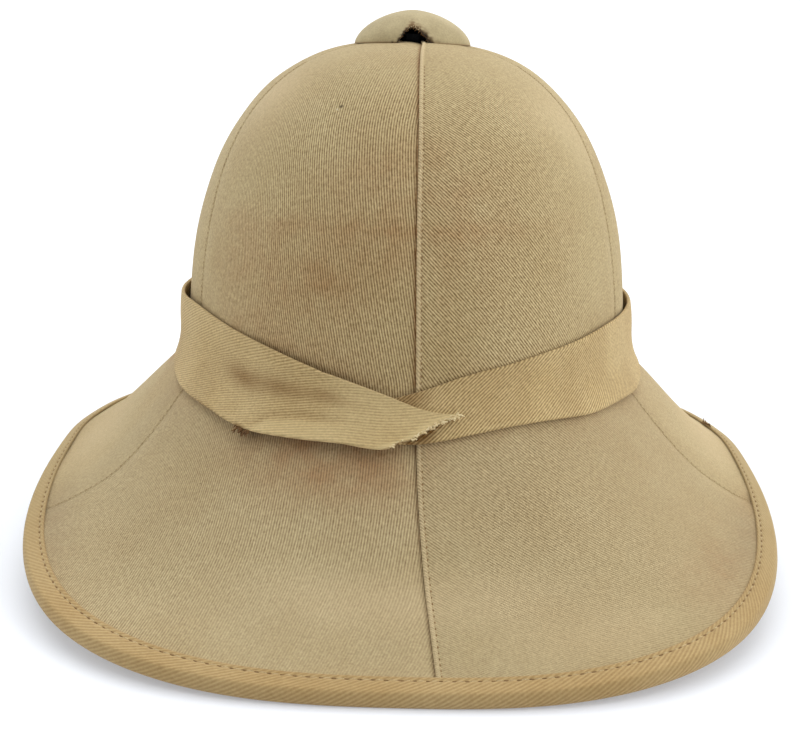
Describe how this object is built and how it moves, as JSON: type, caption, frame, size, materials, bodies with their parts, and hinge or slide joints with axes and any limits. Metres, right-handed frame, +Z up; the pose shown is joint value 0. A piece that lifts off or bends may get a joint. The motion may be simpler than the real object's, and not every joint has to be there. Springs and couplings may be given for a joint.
{
  "type": "pith helmet",
  "caption": "Domed sun helmet of moulded cork in khaki drill: flared brim, bound edge, folded cloth band with a frayed end, and a ventilator cap.",
  "frame": {"origin": "on the surface that the helmet rests on, under the middle of its plan box", "axes": "+Y the wearer's front, +X the wearer's right, +Z up; the picture looks along +Y at the back"},
  "size_m": [0.2998, 0.3619, 0.2114],
  "materials": {
    "cork_body": "moulded cork faced inside with plain drab cotton, matt",
    "khaki_drill": "cotton twill, faded and stained, matt",
    "bias_binding": "cotton twill strip cut on the bias, matt",
    "band_cloth": "folded cotton twill, matt",
    "cap_cloth": "fine cotton stretched over a dome, matt",
    "blackened_metal": "blackened sheet metal, dull"
  },
  "bodies": {
    "root": {"body_shell": "cork_body", "cover_back_left": "khaki_drill", "cover_back_right": "khaki_drill", "cover_side_left": "khaki_drill", "cover_side_right": "khaki_drill", "cover_front_left": "khaki_drill", "cover_front_right": "khaki_drill", "brim_binding": "bias_binding", "pagri_band": "band_cloth", "vent_cap": "cap_cloth", "vent_collar": "blackened_metal"}
  },
  "joints": []
}
